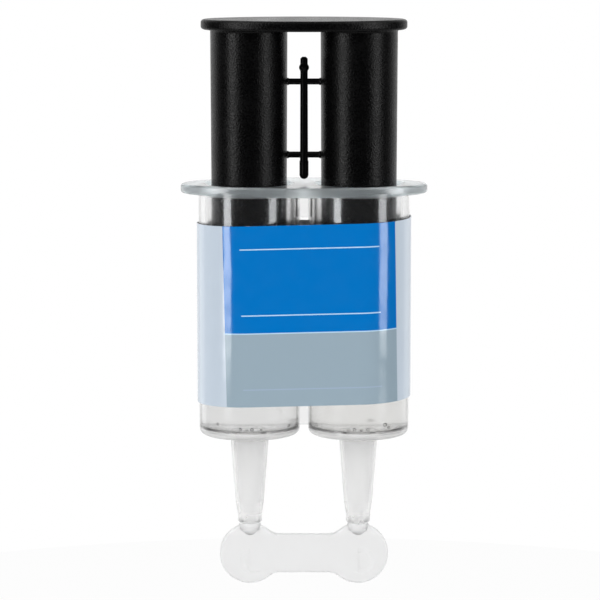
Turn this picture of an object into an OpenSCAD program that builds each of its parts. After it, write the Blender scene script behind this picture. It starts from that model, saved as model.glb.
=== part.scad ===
// Two-barrel epoxy syringe, standing upright on its snap-off tab.
// Lengths are in millimetres. Z runs up along the barrels, X from the left barrel to the
// right one, and the front of the label looks towards -Y. The origin is the middle of the
// tab's lowest edge.

/* [Barrels] */
// Distance between the axes of the two barrels
barrel_pitch = 17.0; // [16.4:0.1:20]
// Outer diameter of each barrel
barrel_d = 15.7; // [15:0.1:16.2]
// Wall of each barrel
barrel_wall = 1.25; // [1:0.05:1.6]
// Length of a barrel below the finger flange
barrel_len = 37.8; // [34:0.1:44]
// Thickness of the end wall of a barrel
floor_t = 1.3; // [1:0.1:2]
// Radius of the rounded edge round the bottom of a barrel
barrel_edge_r = 1.0; // [0.4:0.1:1.2]
// Radius at the foot of the bore
bore_foot_r = 0.5; // [0.2:0.1:1]
// Width of the lead-in chamfer at the mouth of a bore
mouth_chamfer = 0.4; // [0.2:0.1:0.7]

/* [Finger flange] */
// How far the flange stands out past the barrels at both ends
flange_reach = 2.75; // [2:0.05:6]
// How far the flange stands out past the barrels at the front and the back
flange_lip = 0.85; // [0.6:0.05:3]
// Thickness of the flange
flange_t = 1.5; // [1.2:0.1:2.2]
// Radius of the flange's rounded rim
flange_rim_r = 0.45; // [0.2:0.05:0.55]

/* [Webs between the barrels] */
// Thickness of both webs from front to back
web_t = 1.4; // [1:0.1:3]
// Height of the upper web, hanging from the flange
upper_web_h = 3.8; // [2:0.1:6]
// Height of the lower web
lower_web_h = 8.0; // [4:0.1:14]
// Height of the lower web's foot above the bottom of the barrels
lower_web_rise = 1.4; // [0.5:0.1:3]

/* [Nozzles] */
// Length of a nozzle from the bottom of its barrel to its shoulder
nozzle_taper_len = 10.9; // [8:0.1:14]
// Length of the shoulder, where the nozzle narrows to its tip
nozzle_shoulder_len = 2.1; // [1:0.1:3]
// Length of the tip below the shoulder, down to the break
nozzle_tip_len = 1.3; // [0.8:0.1:3]
// Diameter of a nozzle at the bottom of its barrel
nozzle_root_d = 6.0; // [5.4:0.1:7]
// Diameter of a nozzle at the start of its shoulder
nozzle_end_d = 4.45; // [4:0.05:5]
// Diameter of a nozzle's tip
nozzle_tip_d = 3.75; // [3.4:0.05:3.9]
// Diameter of the ring of material at the break
break_d = 3.1; // [2.4:0.1:3.3]
// Height of one side of the notch at the break
break_notch_h = 0.3; // [0.2:0.05:0.5]
// Diameter of the passage at the barrel
passage_root_d = 3.9; // [3.2:0.1:4.4]
// Diameter of the passage at the shoulder
passage_end_d = 3.1; // [2.4:0.1:3.3]
// Diameter of the outlet through the tip
outlet_d = 1.4; // [1:0.1:2]
// Width of the collar round the root of a nozzle
root_collar_w = 0.25; // [0.1:0.05:0.5]
// Height of that collar
root_collar_h = 0.8; // [0.4:0.1:1.5]

/* [Snap-off tab] */
// Diameter of the two round ends of the tab
tab_disc_d = 9.5; // [8:0.1:12]
// Thickness of the round ends
tab_disc_t = 1.6; // [1.2:0.1:2.5]
// Height of the bar between the round ends
tab_bar_h = 6.1; // [4:0.1:7.5]
// Thickness of the bar
tab_bar_t = 1.6; // [1:0.1:2]
// Radius of the inside corners between the bar and the round ends
tab_fillet_r = 1.5; // [0.5:0.1:2.5]
// Radius of the rounded edges of the tab
tab_edge_r = 0.4; // [0.2:0.05:0.45]
// Diameter of the shallow dished mark in each end
tab_mark_d = 4.2; // [3.4:0.1:5]
// Diameter of the flat floor of that mark
tab_mark_floor_d = 2.6; // [1.5:0.1:3.2]
// Depth of that mark
tab_mark_depth = 0.25; // [0.1:0.05:0.4]
// Distance of the mark below the middle of its round end
tab_mark_drop = 1.1; // [0:0.1:1.6]
// Distance of the mark to the right of the middle of its round end
tab_mark_shift = 0.5; // [0:0.1:1.2]
// Height of a stub between its round end and the break
tab_stub_h = 0.2; // [0.1:0.1:1]
// Diameter of a stub
tab_stub_d = 3.4; // [3.2:0.1:4]

/* [Plunger] */
// Length of rod between the flange and the thumb plate
plunger_out = 23.7; // [22.8:0.1:30]
// Gap between a rod and its bore, under the thumb plate
rod_gap = 0.65; // [0.4:0.05:1]
// How much the radius of a rod shrinks from the thumb plate to its lower end
rod_draft = 0.15; // [0:0.05:0.3]
// Length of a rod
rod_len = 34.2; // [30:0.1:40]
// Wall of the hollow rods
rod_wall = 1.3; // [1:0.1:1.8]
// Radius of the fillet where a rod meets the thumb plate
rod_fillet_r = 0.35; // [0.1:0.05:0.5]
// How far the thumb plate stands out past the rods at both ends
plate_reach = 1.45; // [1.2:0.05:5]
// How far the thumb plate stands out past the rods at the front and the back
plate_lip = 2.55; // [2.2:0.05:4]
// Thickness of the thumb plate
plate_t = 1.6; // [1.4:0.1:3]
// Radius of the thumb plate's rounded rim
plate_rim_r = 0.5; // [0.2:0.05:0.6]

/* [Pistons] */
// Height of a piston
piston_h = 5.2; // [4:0.1:7]
// Height of each of a piston's two sealing lips
lip_h = 0.9; // [0.6:0.1:1.4]
// Depth of the waist between the lips
waist_depth = 0.5; // [0.3:0.1:1]
// Height of the bevels beside the lips
lip_bevel = 0.4; // [0.2:0.1:0.6]
// Length of the spigot that plugs into a rod
spigot_len = 3.6; // [2:0.1:6]

/* [Reseal stem] */
// Diameter of the stem where its foot begins
stem_d = 1.25; // [1.1:0.05:1.35]
// Diameter of the stem at its top
stem_top_d = 1.15; // [0.9:0.05:1.25]
// Length of the stem
stem_len = 18.9; // [16:0.1:20]
// Gap between the foot of the stem and the flange
stem_gap = 0.6; // [0.3:0.1:1.2]
// Diameter of the ring near the top of the stem
barb_d = 1.55; // [1.35:0.05:2]
// Height of that ring
barb_h = 1.1; // [0.5:0.1:1.4]
// Distance of the middle of the ring from the top of the stem
barb_drop = 1.65; // [1:0.05:2.5]
// Diameter of the thicker foot of the stem
foot_d = 1.4; // [1.3:0.05:1.8]
// Length of that foot
foot_len = 2.9; // [1:0.1:3.4]
// Diameter of the two crossbars
crossbar_d = 0.95; // [0.7:0.05:1.05]
// Height of the lower crossbar above the foot of the stem
lower_bar_rise = 3.8; // [3:0.1:6]
// Distance between the two crossbars
crossbar_gap = 11.3; // [8:0.1:12]
// Diameter of the flares where a crossbar meets the rods
flare_d = 1.2; // [1.1:0.05:1.4]
// Length of those flares
flare_len = 0.2; // [0.1:0.05:0.6]

/* [Label] */
// Distance from the flange down to the middle of the label's top edge
label_drop = 4.2; // [3:0.1:6]
// Distance from the bottom of the barrels up to the middle of the label's bottom edge
label_rise = 5.7; // [3:0.1:10]
// Thickness of the label
label_t = 0.12; // [0.08:0.01:0.3]
// Tilt of the label, with its right end higher
label_tilt = 1.4; // [0:0.1:2]

/* [Hidden] */

// Running clearance of a piston in its bore, on the radius
piston_clear = 0.06;
// Clearance of a piston's spigot in its rod, on the radius
spigot_clear = 0.05;
// Clearance round a charge
charge_clear = 0.04;
// Gap left between the crossbars and the rods, where the bridges break
bridge_clear = 0.06;
// Gap between the barrels and the label
label_clear = 0.06;
// How far a cut runs past the face that it leaves, and how deep joined shapes overlap
overrun = 0.5;
// Depth of the cut that leaves an oval plate's faces flat
skim = 0.02;
// Steps in a rounded edge and in a half turn of the label
edge_steps = 6;
wrap_steps = 24;
// Fineness of the round shapes
$fn = 96;

// Heights above the bottom of the tab
disc_z = tab_disc_d / 2;
stub_z = tab_disc_d;
break_z = stub_z + tab_stub_h;
barrel_z = break_z + nozzle_tip_len + nozzle_shoulder_len + nozzle_taper_len;
floor_z = barrel_z + floor_t;
flange_z = barrel_z + barrel_len;
flange_top_z = flange_z + flange_t;
plate_z = flange_top_z + plunger_out;
rod_end_z = plate_z - rod_len;
piston_z = rod_end_z - piston_h;
stem_z = flange_top_z + stem_gap;
label_top_z = flange_z - label_drop;
label_h = label_top_z - barrel_z - label_rise;
label_mid_z = label_top_z - label_h / 2;

// Radii about the axis of a barrel, and how far the axis is from the middle
barrel_x = barrel_pitch / 2;
barrel_r = barrel_d / 2;
bore_r = barrel_r - barrel_wall;
rod_top_r = bore_r - rod_gap;
rod_end_r = rod_top_r - rod_draft;
rod_hollow_top_r = rod_top_r - rod_wall;
rod_hollow_end_r = rod_end_r - rod_wall;

// Points of an arc about [cx, cy], from angle a0 to a1
function arc(cx, cy, r, a0, a1) = [
    for (i = [0:edge_steps])
        let (a = a0 + (a1 - a0) * i / edge_steps) [cx + r * cos(a), cy + r * sin(a)]
];

// One of each of a pair, on the left and the right barrel axis
module each_side() {
    for (side = [-1, 1]) translate([side * barrel_x, 0, 0]) children();
}

// Section of a plate with a rounded rim, from radius r0 out to r1
module rim_section(r0, r1, t, rim_r) {
    polygon(concat([[r0, 0]],
        arc(r1 - rim_r, rim_r, rim_r, -90, 0),
        arc(r1 - rim_r, t - rim_r, rim_r, 0, 90),
        [[r0, t]]));
}

// Flat oval plate with a rounded rim, its underside at height 0. The rounding starts a skim
// above and below the plate, and a slab cuts both faces flat.
module oval_plate(half_len, half_depth, t, rim_r) {
    mean_r = sqrt(half_len * half_depth);
    intersection() {
        translate([0, 0, -skim]) scale([half_len / mean_r, half_depth / mean_r, 1])
            rotate_extrude() rim_section(0, mean_r, t + 2 * skim, rim_r);
        translate([-half_len - overrun, -half_depth - overrun, 0])
            cube([2 * (half_len + overrun), 2 * (half_depth + overrun), t]);
    }
}

// Outside of one barrel with its nozzle, on the barrel's own axis
module barrel_outside() {
    root_r = nozzle_root_d / 2;
    shoulder_z = break_z + nozzle_tip_len + nozzle_shoulder_len;
    rotate_extrude() polygon(concat(
        [[0, break_z], [break_d / 2, break_z],
         [nozzle_tip_d / 2, break_z + break_notch_h],
         [nozzle_tip_d / 2, break_z + nozzle_tip_len],
         [nozzle_end_d / 2, shoulder_z],
         [root_r, barrel_z - root_collar_h],
         [root_r + root_collar_w, barrel_z - root_collar_h + root_collar_w],
         [root_r + root_collar_w, barrel_z]],
        arc(barrel_r - barrel_edge_r, barrel_z + barrel_edge_r, barrel_edge_r, -90, 0),
        [[barrel_r, flange_z + overrun], [0, flange_z + overrun]]));
}

// Everything inside one barrel: bore, passage and outlet
module barrel_inside() {
    shoulder_z = break_z + nozzle_tip_len + nozzle_shoulder_len;
    rotate_extrude() polygon(concat(
        [[0, break_z - overrun], [outlet_d / 2, break_z - overrun],
         [outlet_d / 2, shoulder_z], [passage_end_d / 2, shoulder_z],
         [passage_root_d / 2, floor_z]],
        arc(bore_r - bore_foot_r, floor_z + bore_foot_r, bore_foot_r, -90, 0),
        [[bore_r, flange_top_z - mouth_chamfer],
         [bore_r + mouth_chamfer, flange_top_z],
         [bore_r + mouth_chamfer, flange_top_z + overrun],
         [0, flange_top_z + overrun]]));
}

// A web from axis to axis, of which the bores leave the part between their walls
module web(z, h) {
    translate([-barrel_x, -web_t / 2, z]) cube([barrel_pitch, web_t, h]);
}

// The clear moulding: both barrels, their nozzles, the webs and the finger flange
module barrel_body() {
    color([0.86, 0.89, 0.91]) difference() {
        union() {
            each_side() barrel_outside();
            translate([0, 0, flange_z])
                oval_plate(barrel_x + barrel_r + flange_reach, barrel_r + flange_lip,
                    flange_t, flange_rim_r);
            web(flange_z - upper_web_h, upper_web_h + overrun);
            web(barrel_z + lower_web_rise, lower_web_h);
        }
        each_side() barrel_inside();
    }
}

// Outline of the corner between the bar and a round end, seen from the front
module tab_corner() {
    r = tab_disc_d / 2;
    y = tab_bar_h / 2 + tab_fillet_r;
    x = sqrt((r + tab_fillet_r) ^ 2 - y ^ 2);
    polygon(concat(
        arc(x, y, tab_fillet_r, 180 + atan2(y, x), 270),
        [[x, 0], [x * r / (r + tab_fillet_r), 0]]));
}

// One round end of the tab, with its rounded rim and its dished mark on both faces
module tab_disc() {
    difference() {
        translate([0, tab_disc_t / 2, disc_z]) rotate([90, 0, 0])
            rotate_extrude() rim_section(0, tab_disc_d / 2, tab_disc_t, tab_edge_r);
        for (m = [0, 1]) mirror([0, m, 0])
            translate([tab_mark_shift, tab_mark_depth - tab_disc_t / 2, disc_z - tab_mark_drop])
                rotate([90, 0, 0]) rotate_extrude() polygon([
                    [0, 0], [tab_mark_floor_d / 2, 0], [tab_mark_d / 2, tab_mark_depth],
                    [tab_mark_d / 2, overrun], [0, overrun]]);
    }
}

// Stub that joins a round end of the tab to its nozzle
module tab_stub() {
    rotate_extrude() polygon([
        [0, stub_z - tab_stub_d / 2], [tab_stub_d / 4, stub_z - tab_stub_d / 2],
        [tab_stub_d / 2, stub_z - tab_stub_d / 4],
        [tab_stub_d / 2, break_z - break_notch_h],
        [break_d / 2, break_z], [0, break_z]]);
}

// The tab that closes both nozzles until it is snapped off
module snap_off_tab() {
    bar_half_t = tab_bar_t / 2;
    color([0.88, 0.90, 0.91]) {
        each_side() {
            tab_disc();
            tab_stub();
        }
        translate([-barrel_x, 0, disc_z]) rotate([90, 0, 90]) linear_extrude(barrel_pitch)
            polygon(concat(
                arc(bar_half_t - tab_edge_r, tab_bar_h / 2 - tab_edge_r, tab_edge_r, 0, 90),
                arc(tab_edge_r - bar_half_t, tab_bar_h / 2 - tab_edge_r, tab_edge_r, 90, 180),
                arc(tab_edge_r - bar_half_t, tab_edge_r - tab_bar_h / 2, tab_edge_r, 180, 270),
                arc(bar_half_t - tab_edge_r, tab_edge_r - tab_bar_h / 2, tab_edge_r, 270, 360)));
        for (m = [0, 1], n = [0, 1]) mirror([m, 0, 0])
            translate([-barrel_x, bar_half_t, disc_z]) rotate([90, 0, 0]) mirror([0, n, 0])
                linear_extrude(tab_bar_t) tab_corner();
    }
}

// Outside of one rod on its own axis, grown by the given amount
module rod_outside(grow) {
    slope = rod_draft / rod_len;
    top_r = rod_top_r + grow;
    rotate_extrude() polygon(concat(
        [[0, rod_end_z], [rod_end_r + grow, rod_end_z]],
        [for (p = arc(top_r + rod_fillet_r, plate_z - rod_fillet_r, rod_fillet_r, 180, 90))
            [p[0] - slope * (plate_z - p[1]), p[1]]],
        [[top_r + rod_fillet_r, plate_z + overrun], [0, plate_z + overrun]]));
}

// The black moulding: both hollow rods and the thumb plate
module plunger() {
    color([0.07, 0.07, 0.08]) difference() {
        union() {
            each_side() rod_outside(0);
            translate([0, 0, plate_z])
                oval_plate(barrel_x + rod_top_r + plate_reach, rod_top_r + plate_lip,
                    plate_t, plate_rim_r);
        }
        each_side() rotate_extrude() polygon([
            [0, rod_end_z - overrun], [rod_hollow_end_r, rod_end_z - overrun],
            [rod_hollow_end_r, rod_end_z + spigot_len],
            [rod_hollow_top_r, plate_z - rod_wall], [0, plate_z]]);
    }
}

// A piston with two sealing lips, and the spigot that plugs into its rod
module piston() {
    lip_r = bore_r - piston_clear;
    waist_r = lip_r - waist_depth;
    spigot_r = rod_hollow_end_r - spigot_clear;
    top_z = piston_z + piston_h;
    rotate_extrude() polygon([
        [0, piston_z], [waist_r, piston_z],
        [lip_r, piston_z + lip_bevel],
        [lip_r, piston_z + lip_bevel + lip_h],
        [waist_r, piston_z + 2 * lip_bevel + lip_h],
        [waist_r, top_z - 2 * lip_bevel - lip_h],
        [lip_r, top_z - lip_bevel - lip_h],
        [lip_r, top_z - lip_bevel],
        [waist_r, top_z],
        [spigot_r, top_z],
        [spigot_r, top_z + spigot_len - lip_bevel],
        [spigot_r - lip_bevel, top_z + spigot_len],
        [0, top_z + spigot_len]]);
}

module left_piston() {
    color([0.16, 0.16, 0.17]) translate([-barrel_x, 0, 0]) piston();
}

module right_piston() {
    color([0.16, 0.16, 0.17]) translate([barrel_x, 0, 0]) piston();
}

// Length of resin or hardener that fills a bore below its piston
module charge() {
    r = bore_r - charge_clear;
    foot_r = bore_foot_r;
    rotate_extrude() polygon(concat(
        [[0, floor_z + charge_clear]],
        arc(r - foot_r, floor_z + charge_clear + foot_r, foot_r, -90, 0),
        [[r, piston_z - charge_clear], [0, piston_z - charge_clear]]));
}

module resin_charge() {
    color([0.90, 0.88, 0.80]) translate([-barrel_x, 0, 0]) charge();
}

module hardener_charge() {
    color([0.92, 0.86, 0.70]) translate([barrel_x, 0, 0]) charge();
}

// A crossbar along X, flared at both rods
module crossbar(z) {
    reach = barrel_x - rod_end_r;
    // Where a flare at a rod starts, inside the widest gap between rod and stem
    flare_x = barrel_x - rod_top_r - bridge_clear - flare_len;
    translate([0, 0, z]) for (side = [-90, 90]) rotate([0, side, 0]) {
        cylinder(d = crossbar_d, h = reach);
        translate([0, 0, flare_x]) cylinder(d1 = crossbar_d, d2 = flare_d, h = flare_len);
        translate([0, 0, flare_x + flare_len]) cylinder(d = flare_d, h = reach - flare_x);
    }
}

// The stem between the rods, held by two crossbars until it is broken out
module reseal_stem() {
    r = stem_d / 2;
    tip_r = stem_top_d / 2;
    foot_r = foot_d / 2;
    barb_r = barb_d / 2;
    top_z = stem_z + stem_len;
    barb_z = top_z - barb_drop;
    lower_z = stem_z + lower_bar_rise;
    color([0.09, 0.09, 0.10]) {
        rotate_extrude() polygon(concat(
            [[0, stem_z]],
            arc(0, stem_z + foot_r, foot_r, -75, 0),
            [[foot_r, stem_z + foot_len - (foot_r - r)], [r, stem_z + foot_len],
             [tip_r, barb_z - barb_h / 2],
             [barb_r, barb_z - barb_h / 8], [barb_r, barb_z + barb_h / 8],
             [tip_r, barb_z + barb_h / 2],
             [tip_r, top_z - tip_r / 2], [tip_r / 2, top_z], [0, top_z]]));
        difference() {
            union() {
                crossbar(lower_z);
                crossbar(lower_z + crossbar_gap);
            }
            each_side() rod_outside(bridge_clear);
        }
    }
}

// Outline of a label wrapped round both barrels, at a given radius about their axes
module wrap_outline(r) {
    polygon([for (side = [1, -1], i = [0:wrap_steps])
        let (a = (side > 0 ? -90 : 90) + 180 * i / wrap_steps)
            [side * barrel_x + r * cos(a), r * sin(a)]]);
}

// The printed label, one band round both barrels
module label() {
    inner_r = barrel_r + label_clear;
    outer_r = inner_r + label_t;
    // Slack that the tilt needs at both ends of the band
    slack = (barrel_x + outer_r) * sin(label_tilt) + overrun;
    color([0.0, 0.44, 0.77]) intersection() {
        translate([0, 0, label_top_z - label_h - slack])
            linear_extrude(label_h + 2 * slack) difference() {
                wrap_outline(outer_r);
                wrap_outline(inner_r);
            }
        translate([0, 0, label_mid_z]) rotate([0, -label_tilt, 0])
            cube([barrel_pitch + barrel_d + 4 * slack, barrel_d + 4 * slack, label_h], center = true);
    }
}

barrel_body();
snap_off_tab();
plunger();
left_piston();
right_piston();
reseal_stem();
label();
resin_charge();
hardener_charge();
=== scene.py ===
import math

import bmesh
import bpy
from mathutils import Matrix, Vector


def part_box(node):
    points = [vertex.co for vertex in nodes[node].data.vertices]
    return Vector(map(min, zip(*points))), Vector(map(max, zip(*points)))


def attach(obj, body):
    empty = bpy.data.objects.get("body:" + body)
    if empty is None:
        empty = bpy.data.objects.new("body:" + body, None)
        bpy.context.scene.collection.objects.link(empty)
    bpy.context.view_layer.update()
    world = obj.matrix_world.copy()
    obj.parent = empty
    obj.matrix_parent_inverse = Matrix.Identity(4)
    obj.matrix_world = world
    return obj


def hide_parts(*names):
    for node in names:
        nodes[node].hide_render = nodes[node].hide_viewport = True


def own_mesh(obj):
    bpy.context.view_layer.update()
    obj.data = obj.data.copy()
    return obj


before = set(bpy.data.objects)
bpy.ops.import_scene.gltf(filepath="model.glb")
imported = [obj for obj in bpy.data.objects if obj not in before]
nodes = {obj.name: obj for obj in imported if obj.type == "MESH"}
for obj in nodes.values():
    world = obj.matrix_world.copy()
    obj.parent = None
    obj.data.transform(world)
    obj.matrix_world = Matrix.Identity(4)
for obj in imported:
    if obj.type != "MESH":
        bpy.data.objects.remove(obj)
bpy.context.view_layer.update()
scene = bpy.context.scene
axes = {"left": -0.0085, "right": 0.0085}  # barrel axes along X, in metres
print("frame loaded:", len(nodes), "nodes")

view = {"place": (-0.00062, -0.460, 0.110), "aim": (-0.00062, 0, 0.04498), "lens": 179.0,
        "sensor": 36, "nearest": 0.01}
# the photographed syringe hangs in white; the floor is where the tab lands when it is pulled off
floorDisc = {"radius": 0.145, "height": -0.0252, "turns": 96, "glow": 0.93, "colour": (0.9, 0.9, 0.9, 1)}
# azimuth from the front, distance, width, height, middle height, brightness
softboxes = {
    "strip_left": (-50, 0.50, 0.15, 0.8, 0.365, 8.5),
    "strip_right": (55, 0.50, 0.16, 0.8, 0.365, 6.5),
    "rim_left": (-128, 0.55, 0.22, 0.9, 0.10, 0.7),
    "rim_right": (128, 0.55, 0.22, 0.9, 0.10, 0.5),
}
# a dark band at the camera's height in front, white overhead, behind and below;
# the pairs are where a change along Y, or in steepness, starts and ends
sky = {"seen": 1.0, "bandMirrored": 0.02, "bandInner": 0.05, "sides": 0.6, "behind": 1.0,
       "overhead": 0.9, "lit": 0.34, "litInside": 0.9,
       "steepFromTo": (0.3, 0.7), "behindFromTo": (0.6, 0.95),
       "mirroredFromTo": (-0.1, 0.5), "innerFromTo": (-0.3, 0.3)}


def aimAt(obj, target):
    way = Vector(target) - obj.location
    obj.rotation_euler = way.to_track_quat("-Z", "Y").to_euler()


camera = bpy.data.objects.new("camera", bpy.data.cameras.new("camera"))
scene.collection.objects.link(camera)
camera.data.lens = view["lens"]
camera.data.sensor_width = view["sensor"]
camera.data.clip_start = view["nearest"]
camera.location = view["place"]
aimAt(camera, view["aim"])
scene.camera = camera
scene.view_settings.view_transform = "Standard"

for name, (azimuth, far, width, height, midZ, bright) in softboxes.items():
    lamp = bpy.data.lights.new(name, "AREA")
    lamp.shape = "RECTANGLE"
    lamp.size, lamp.size_y = width, height
    lamp.energy = bright * math.pi * width * height
    box = bpy.data.objects.new(name, lamp)
    a = math.radians(azimuth)
    box.location = (far * math.sin(a), -far * math.cos(a), midZ)
    scene.collection.objects.link(box)
    aimAt(box, (0, 0, midZ))
    box.visible_camera = False
    box.visible_transmission = False


def newNode(tree, kind, *links, **values):
    node = tree.nodes.new(kind)
    for name, value in values.items():
        setattr(node, name, value)
    for i, value in enumerate(links):
        if isinstance(value, bpy.types.NodeSocket):
            tree.links.new(value, node.inputs[i])
        elif value is not None:
            node.inputs[i].default_value = value
    return node


def maths(tree, kind, *values):
    return newNode(tree, "ShaderNodeMath", *values, operation=kind).outputs[0]


def ramp(tree, source, low, high, outLow=0, outHigh=1):
    return newNode(tree, "ShaderNodeMapRange", source, low, high, outLow, outHigh).outputs[0]


def within(tree, source, low, high, soft):
    return maths(tree, "MULTIPLY", ramp(tree, source, low - soft, low + soft),
                 ramp(tree, source, high + soft, high - soft))


def blend(tree, factor, a, b):
    return newNode(tree, "ShaderNodeMix", factor, None, a, b, data_type="FLOAT").outputs[0]


def mixColour(tree, factor, a, b):
    return newNode(tree, "ShaderNodeMix", factor, None, None, None, None, None, a, b,
                   data_type="RGBA").outputs[2]


def splitXYZ(tree, vector):
    return newNode(tree, "ShaderNodeSeparateXYZ", vector).outputs


# white to the eye and through the clear plastic; what shines also sees the dark band
world = bpy.data.worlds.new("studio")
scene.world = world
world.use_nodes = True
tree = world.node_tree
tree.nodes.clear()
path = tree.nodes.new("ShaderNodeLightPath").outputs
way = splitXYZ(tree, tree.nodes.new("ShaderNodeTexCoord").outputs["Generated"])
steep = ramp(tree, maths(tree, "ABSOLUTE", way["Z"]), *sky["steepFromTo"], 0, sky["overhead"])
behind = ramp(tree, way["Y"], *sky["behindFromTo"], 0, sky["behind"] - sky["sides"])
mirrored = ramp(tree, way["Y"], *sky["mirroredFromTo"], sky["bandMirrored"], sky["sides"])
mirrored = maths(tree, "MAXIMUM", maths(tree, "ADD", mirrored, behind), steep)
inner = ramp(tree, way["Y"], *sky["innerFromTo"], sky["bandInner"], sky["seen"])
inner = maths(tree, "MAXIMUM", inner, steep)
seen = maths(tree, "MAXIMUM", path["Is Camera Ray"], path["Is Transmission Ray"])
level = blend(tree, path["Is Glossy Ray"], sky["lit"], mirrored)
shone = maths(tree, "GREATER_THAN", path["Glossy Depth"], 0.5)  # after a shine inside the clear plastic
level = blend(tree, seen, level, blend(tree, shone, sky["seen"], inner))
lit = blend(tree, path["Is Transmission Ray"], sky["lit"], sky["litInside"])
level = blend(tree, maths(tree, "GREATER_THAN", path["Diffuse Depth"], 0.5), level, lit)
back = newNode(tree, "ShaderNodeBackground", (1, 1, 1, 1), level)
newNode(tree, "ShaderNodeOutputWorld", back.outputs[0])

# the floor is white to the eye, and keeps a soft shadow
paper = bpy.data.materials.new("floorPaper")
paper.use_nodes = True
tree = paper.node_tree
tree.nodes.clear()
path = tree.nodes.new("ShaderNodeLightPath").outputs
seen = maths(tree, "MAXIMUM", path["Is Camera Ray"], path["Is Transmission Ray"])
matt = newNode(tree, "ShaderNodeBsdfDiffuse", floorDisc["colour"])
glow = newNode(tree, "ShaderNodeEmission")
share = maths(tree, "MULTIPLY", seen, floorDisc["glow"])
both = newNode(tree, "ShaderNodeMixShader", share, matt.outputs[0], glow.outputs[0])
newNode(tree, "ShaderNodeOutputMaterial", both.outputs[0])

bm = bmesh.new()
bmesh.ops.create_circle(bm, cap_ends=True, segments=floorDisc["turns"], radius=floorDisc["radius"])
bmesh.ops.translate(bm, verts=bm.verts[:], vec=(0, 0, floorDisc["height"]))
mesh = bpy.data.meshes.new("floor")
bm.to_mesh(mesh)
bm.free()
floor = bpy.data.objects.new("floor", mesh)
scene.collection.objects.link(floor)
mesh.materials.append(paper)
print("camera, floor and lamps placed")


def newFinish(name, **sockets):
    finish = bpy.data.materials.new(name)
    finish.use_nodes = True
    shader = finish.node_tree.nodes["Principled BSDF"]
    for socket, value in sockets.items():
        shader.inputs[socket.replace("_", " ")].default_value = value
    return finish, finish.node_tree, shader


def objectNoise(tree, scale, detail=2.0, roughness=0.5, stretch=(1, 1, 1)):
    place = tree.nodes.new("ShaderNodeTexCoord")
    spread = tree.nodes.new("ShaderNodeMapping")
    spread.inputs["Scale"].default_value = stretch
    noise = tree.nodes.new("ShaderNodeTexNoise")
    noise.inputs["Scale"].default_value = scale
    noise.inputs["Detail"].default_value = detail
    noise.inputs["Roughness"].default_value = roughness
    tree.links.new(place.outputs["Object"], spread.inputs["Vector"])
    tree.links.new(spread.outputs[0], noise.inputs["Vector"])
    return noise.outputs["Fac"]


def addBump(tree, shader, height, strength, distance):
    bump = tree.nodes.new("ShaderNodeBump")
    bump.inputs["Strength"].default_value = strength
    bump.inputs["Distance"].default_value = distance
    tree.links.new(height, bump.inputs["Height"])
    tree.links.new(bump.outputs[0], shader.inputs["Normal"])


patchLook = {"scale": 260, "detail": 3, "fromTo": (0.35, 0.65), "black": (-0.03, 0.03)}  # duller patches
grainLook = {"detail": 1.5, "roughness": 0.6, "fromTo": (0.38, 0.62), "strength": 0.9}


def patches(tree, low, high):
    noise = objectNoise(tree, patchLook["scale"], patchLook["detail"])
    return ramp(tree, noise, *patchLook["fromTo"], low, high)


def blackFinish(p):
    finish, tree, shader = newFinish(p["name"], Base_Color=p["base"], Specular_IOR_Level=p["shine"])
    speck = objectNoise(tree, p["grain"], grainLook["detail"], grainLook["roughness"])
    patch = patches(tree, *patchLook["black"])
    low, high = p["rough"]
    rough = maths(tree, "ADD", ramp(tree, speck, *grainLook["fromTo"], high, low), patch)
    tree.links.new(rough, shader.inputs["Roughness"])
    addBump(tree, shader, speck, grainLook["strength"], p["depth"])
    return finish


blackPlastic = blackFinish({"name": "blackPlastic", "base": (0.0009, 0.0009, 0.001, 1), "shine": 0.12,
                            "rough": (0.22, 0.38), "grain": 3800, "depth": 0.00006})
stemPlastic = blackFinish({"name": "stemPlastic", "base": (0.0009, 0.0009, 0.001, 1), "shine": 0.10,
                           "rough": (0.30, 0.40), "grain": 2600, "depth": 0.00002})
pistonPlastic = blackFinish({"name": "pistonPlastic", "base": (0.02, 0.02, 0.022, 1), "shine": 0.3,
                             "rough": (0.30, 0.42), "grain": 1500, "depth": 0.00001})
clearLook = {"ior": 1.42, "shineTint": (0.88, 0.94, 1, 1), "coatIor": 1.5, "coatRough": 0.16,
             "waves": 170, "waveDetail": 2, "waveStrength": 0.25, "waveDepth": 0.0002}


def clearFinish(p):
    finish, tree, shader = newFinish(
        p["name"], Base_Color=p["tint"], IOR=clearLook["ior"], Specular_Tint=clearLook["shineTint"],
        Transmission_Weight=1 - p["milk"], Coat_Weight=p["coat"], Coat_IOR=clearLook["coatIor"],
        Coat_Roughness=clearLook["coatRough"])
    rough = patches(tree, *p["rough"])
    if p["zones"]:
        height = splitXYZ(tree, tree.nodes.new("ShaderNodeTexCoord").outputs["Object"])["Z"]
        clear, colour = 1 - p["milk"], p["tint"]
        for low, high, soft, extraRough, milk, tint in p["zones"].values():
            at = within(tree, height, low, high, soft)
            rough = maths(tree, "ADD", rough, maths(tree, "MULTIPLY", at, extraRough))
            clear = blend(tree, at, clear, 1 - milk)
            colour = mixColour(tree, at, colour, tint)
        tree.links.new(clear, shader.inputs["Transmission Weight"])
        tree.links.new(colour, shader.inputs["Base Color"])
    tree.links.new(rough, shader.inputs["Roughness"])
    waves = objectNoise(tree, clearLook["waves"], clearLook["waveDetail"])
    addBump(tree, shader, waves, clearLook["waveStrength"], clearLook["waveDepth"])
    fill = tree.nodes.new("ShaderNodeVolumeAbsorption")
    fill.inputs["Color"].default_value = p["absorbed"]
    fill.inputs["Density"].default_value = p["density"]
    tree.links.new(fill.outputs[0], tree.nodes["Material Output"].inputs["Volume"])
    return finish


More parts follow.
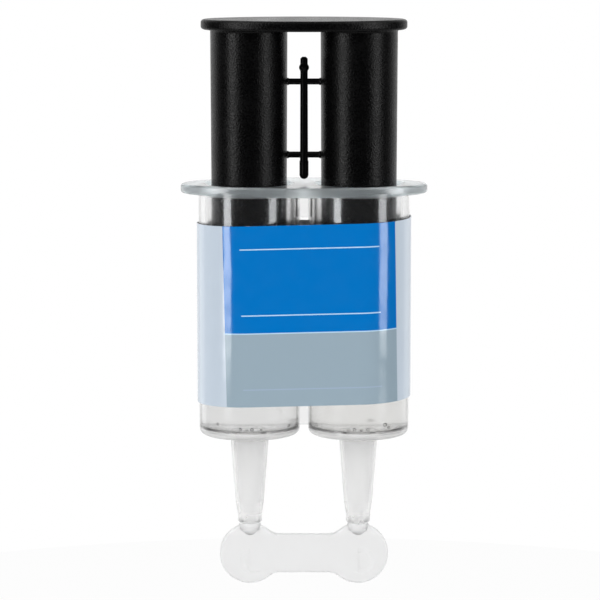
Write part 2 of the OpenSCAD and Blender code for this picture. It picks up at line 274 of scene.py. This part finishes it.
# thick and satin parts of the moulding look milkier; zones hold
# low and high edge, softness of the edges, added roughness, milk, tint
clearPlastic = clearFinish({
    "name": "clearPlastic", "tint": (0.99, 0.995, 1.0, 1), "rough": (0.12, 0.17), "milk": 0.002, "coat": 1.0,
    "absorbed": (0.30, 0.24, 0.20, 1), "density": 16,
    "zones": {"flange": (0.0617, 0.0700, 0.0002, 0.34, 0.08, (0.89, 0.97, 1.0, 1)),
              "endWalls": (0.0239, 0.0252, 0.0001, 0.16, 0.40, (1.0, 1.0, 0.995, 1)),
              "nozzles": (0.0000, 0.0239, 0.0002, 0.03, 0.28, (1.0, 1.0, 1.0, 1)),
              "notches": (0.0090, 0.0114, 0.0003, 0.10, 0.35, (0.99, 0.99, 0.99, 1))}})
tabPlastic = clearFinish({
    "name": "tabPlastic", "tint": (0.87, 0.87, 0.87, 1), "rough": (0.28, 0.36), "milk": 0.2, "coat": 0.0,
    "absorbed": (0.62, 0.66, 0.70, 1), "density": 20,
    "zones": {"stubs": (0.0078, 0.0099, 0.0002, 0.0, 0.3, (0.90, 0.90, 0.90, 1))}})
resin = clearFinish({
    "name": "resin", "tint": (0.99, 0.99, 0.985, 1), "rough": (0.0, 0.02), "milk": 0.0, "coat": 0.0,
    "absorbed": (0.7, 0.7, 0.6, 1), "density": 1.5, "zones": {}})
hardener = clearFinish({
    "name": "hardener", "tint": (0.99, 0.985, 0.97, 1), "rough": (0.0, 0.02), "milk": 0.0, "coat": 0.0,
    "absorbed": (0.7, 0.68, 0.5, 1), "density": 2.5, "zones": {}})
print("plastics and fillings finished")


def finishPiece(bm, name, finish, body, slotName, *stoodFor):
    mesh = bpy.data.meshes.new(name)
    bm.to_mesh(mesh)
    bm.free()
    mesh.materials.append(finish)
    obj = bpy.data.objects.new(name, mesh)
    scene.collection.objects.link(obj)
    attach(obj, body)
    if stoodFor:
        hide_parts(*stoodFor)
    return obj


def smoothFaces(obj, angle):
    for face in obj.data.polygons:
        face.use_smooth = True
    obj.data.set_sharp_from_angle(angle=math.radians(angle))


# one strip of film, stuck on a little askew, so that it climbs as it goes round both barrels;
# lengths along the strip run from the middle of the front
labelStrip = {"outer": 0.00803, "film": 0.00012, "start": -0.0467, "end": 0.0407, "height": 0.0280,
              "tilt": 1.4, "lift": 0.00014, "liftStart": 0.0368, "liftEnd": 0.0376,
              "columns": 240, "rows": 26}
labelPrint = {"left": -0.01230, "right": 0.01472, "split": -0.0026, "soft": 0.00004,
              "blue": (0.0, 0.145, 0.463, 1), "grey": (0.27, 0.35, 0.41, 1), "pale": (0.49, 0.56, 0.64, 1),
              "rule": (0.45, 0.64, 0.80, 1), "fineRule": (0.30, 0.38, 0.50, 1),
              "gloss": (0.10, 0.17), "glossScale": 400, "glossFromTo": (0.35, 0.65),
              "back": (0.86, 0.86, 0.85, 1), "backRough": (0.55, 0.7), "backScale": 900,
              "backFromTo": (0.3, 0.7),
              "waves": 150, "waveStretch": (1, 1, 0.5), "waveStrength": 0.35, "waveDepth": 0.0004}
# bare rules in place of print: from and to along the strip, middle across it, half thickness
paleRules = ((-0.0096, 0.0118, 0.0104, 0.00008), (-0.0096, 0.0118, 0.0002, 0.00008),
             (-0.0123, 0.0147, -0.0026, 0.00008))
darkRules = [(-0.0096, 0.0118, -0.0113, 0.00009)]
backRules = {"ends": ((-0.0450, -0.0235), (0.0235, 0.0392)), "fineHalf": 0.00006, "boldHalf": 0.00016,
             "fine": (0.0085, 0.0060, 0.0035, 0.0010, -0.0015, -0.0040, -0.0065), "bold": (0.0113, -0.0113)}
for ends in backRules["ends"]:
    darkRules += [(*ends, middle, backRules["fineHalf"]) for middle in backRules["fine"]]
    darkRules += [(*ends, middle, backRules["boldHalf"]) for middle in backRules["bold"]]

labelFilm, tree, shader = newFinish("labelFilm", Specular_IOR_Level=0.6)
flat = splitXYZ(tree, tree.nodes.new("ShaderNodeTexCoord").outputs["UV"])
along = ramp(tree, flat["X"], 0, 1, labelStrip["start"], labelStrip["end"])
across = ramp(tree, flat["Y"], 0, 1, -labelStrip["height"] / 2, labelStrip["height"] / 2)


def inkOn(colour, ink, lines):
    marked = None
    for left, right, middle, half in lines:
        line = maths(tree, "MULTIPLY", within(tree, along, left, right, labelPrint["soft"]),
                     within(tree, across, middle - half, middle + half, labelPrint["soft"]))
        marked = line if marked is None else maths(tree, "MAXIMUM", marked, line)
    return mixColour(tree, marked, colour, ink)


panel = within(tree, along, labelPrint["left"], labelPrint["right"], labelPrint["soft"])
split, soft = labelPrint["split"], labelPrint["soft"]
upper = ramp(tree, across, split - soft, split + soft)
colour = mixColour(tree, upper, labelPrint["grey"], labelPrint["blue"])
colour = mixColour(tree, panel, labelPrint["pale"], colour)
colour = inkOn(colour, labelPrint["rule"], paleRules)
colour = inkOn(colour, labelPrint["fineRule"], darkRules)
tree.links.new(colour, shader.inputs["Base Color"])
noise = objectNoise(tree, labelPrint["glossScale"], 3)
gloss = ramp(tree, noise, *labelPrint["glossFromTo"], *labelPrint["gloss"])
tree.links.new(gloss, shader.inputs["Roughness"])
waves = objectNoise(tree, labelPrint["waves"], 2, stretch=labelPrint["waveStretch"])
addBump(tree, shader, waves, labelPrint["waveStrength"], labelPrint["waveDepth"])

labelBacking, tree, shader = newFinish("labelBacking", Base_Color=labelPrint["back"])
noise = objectNoise(tree, labelPrint["backScale"], 3)
rough = ramp(tree, noise, *labelPrint["backFromTo"], *labelPrint["backRough"])
tree.links.new(rough, shader.inputs["Roughness"])


def wrapRound(s, radius):
    side = -1 if s < 0 else 1
    past = abs(s) - axes["right"]  # beyond the flat front
    if past < 0:
        return s, -radius
    if past < math.pi * radius:
        return side * (axes["right"] + radius * math.sin(past / radius)), -radius * math.cos(past / radius)
    return side * (axes["right"] + math.pi * radius - past), radius


def wrapLabel(p):
    bm = bmesh.new()
    bm.loops.layers.uv.new("UVMap")
    bmesh.ops.create_grid(bm, x_segments=p["columns"], y_segments=p["rows"], size=0.5, calc_uvs=True)
    lean = math.radians(p["tilt"])
    lowCorner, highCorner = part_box("label")
    middle = (lowCorner[2] + highCorner[2]) / 2
    for vert in bm.verts:
        a = p["start"] + (p["end"] - p["start"]) * (vert.co.x + 0.5)
        b = p["height"] * vert.co.y
        s = a * math.cos(lean) - b * math.sin(lean)
        x, y = wrapRound(s, p["outer"])
        lap = min(1, max(0, (s - p["liftStart"]) / (p["liftEnd"] - p["liftStart"])))
        y += p["lift"] * lap * lap * (3 - 2 * lap)
        vert.co = (x, y, middle + a * math.sin(lean) + b * math.cos(lean))
    bmesh.ops.recalc_face_normals(bm, faces=bm.faces[:])
    bmesh.ops.solidify(bm, geom=bm.faces[:], thickness=p["film"])
    return bm


label = finishPiece(wrapLabel(labelStrip), "label_wrap", labelFilm, "barrels", "label_film", "label")
label.data.materials.append(labelBacking)
for face in label.data.polygons:  # the side that is stuck to the barrels is white
    x = max(axes["left"], min(axes["right"], face.center.x))
    if face.normal.dot(face.center - Vector((x, 0, face.center.z))) < 0:
        face.material_index = 1
smoothFaces(label, 40)
print("label wrapped")

# a little into the wall, so the plastic looks wetted; bubbles hold azimuth from the front, height, radius
chargeFill = {
    "radius": 0.00662, "footRadius": 0.0005, "sink": 0.00006, "turns": 96, "least": 0.01,
    "bubbleOrbit": 0.00605, "bubbleDetail": 3,
    "bubbles": {
        "resin_charge": (
            (-12, 0.00040, 0.00024), (-3, 0.00034, 0.00018), (4, 0.00042, 0.00026), (17, 0.0003, 0.00016),
            (-47, 0.0010, 0.00020), (63, 0.00045, 0.00028), (150, 0.0006, 0.00025)),
        "hardener_charge": (
            (-14, 0.00036, 0.00020), (-6, 0.00042, 0.00026), (3, 0.0003, 0.00018), (12, 0.0004, 0.00022),
            (38, 0.00095, 0.00032), (44, 0.0005, 0.00022), (-70, 0.0005, 0.00026), (170, 0.0008, 0.00024))}}
p = chargeFill
for name, x, finish, slotName in (("resin_charge", axes["left"], resin, "resin"),
                                  ("hardener_charge", axes["right"], hardener, "hardener")):
    lowCorner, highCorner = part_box(name)
    bottom, top, foot = lowCorner[2] - p["sink"], highCorner[2], p["footRadius"]
    bm = bmesh.new()
    points = [(0, bottom), (p["radius"] - foot, bottom)]
    points += [(p["radius"] - foot + foot * math.sin(a), bottom + foot - foot * math.cos(a))
               for a in (math.pi / 8, math.pi / 4, 3 * math.pi / 8, math.pi / 2)]
    points += [(p["radius"], top), (0, top)]
    verts = [bm.verts.new((r, 0, z)) for r, z in points]
    edges = [bm.edges.new(pair) for pair in zip(verts, verts[1:])]
    bmesh.ops.spin(bm, geom=verts + edges, cent=(0, 0, 0), axis=(0, 0, 1), dvec=(0, 0, 0),
                   angle=2 * math.pi, steps=p["turns"], use_merge=True, use_duplicate=False)
    bmesh.ops.remove_doubles(bm, verts=bm.verts[:], dist=1e-7)
    bmesh.ops.recalc_face_normals(bm, faces=bm.faces[:])
    for azimuth, height, size in p["bubbles"][name]:  # a bubble is a hole in the liquid, so it faces inwards
        a, orbit = math.radians(azimuth), p["bubbleOrbit"]
        place = Matrix.Translation((orbit * math.sin(a), -orbit * math.cos(a), bottom + height))
        ball = bmesh.ops.create_icosphere(bm, subdivisions=p["bubbleDetail"], radius=size, matrix=place)
        bmesh.ops.reverse_faces(bm, faces=list({face for vert in ball["verts"] for face in vert.link_faces}))
    bmesh.ops.translate(bm, verts=bm.verts[:], vec=(x, 0, 0))
    fill = finishPiece(bm, name + "_fill", finish, "barrels", slotName, name)
    smoothFaces(fill, 30)
    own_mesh(fill)
print("charges filled")

# the films that hold the crossbars to the rods until they are broken; they leave with the stem
stemBridges = {"radius": 0.00053, "start": 0.00245, "clear": 0.000004, "turns": 32,
               "heights": (0.0677, 0.0790), "rodRadii": (0.005865, 0.005915)}
p = stemBridges
bm = bmesh.new()
for height, rodRadius in zip(p["heights"], p["rodRadii"]):
    end = axes["right"] - rodRadius - p["clear"]
    for side in (-1, 1):
        place = Matrix.Translation((side * (p["start"] + end) / 2, 0, height))
        place = place @ Matrix.Rotation(math.pi / 2, 4, "Y")
        bmesh.ops.create_cone(bm, cap_ends=True, segments=p["turns"], radius1=p["radius"],
                              radius2=p["radius"], depth=end - p["start"], matrix=place)
bridges = finishPiece(bm, "stem_bridges", stemPlastic, "reseal_stem", "stem_plastic")
smoothFaces(bridges, 40)
print("bridges placed")

# these CAD nodes keep their shape and get their finish
for name, finish in {"barrel_body": clearPlastic, "snap_off_tab": tabPlastic, "plunger": blackPlastic,
                     "left_piston": pistonPlastic, "right_piston": pistonPlastic,
                     "reseal_stem": stemPlastic}.items():
    for slot in nodes[name].material_slots:
        slot.material = finish
print("CAD nodes finished")
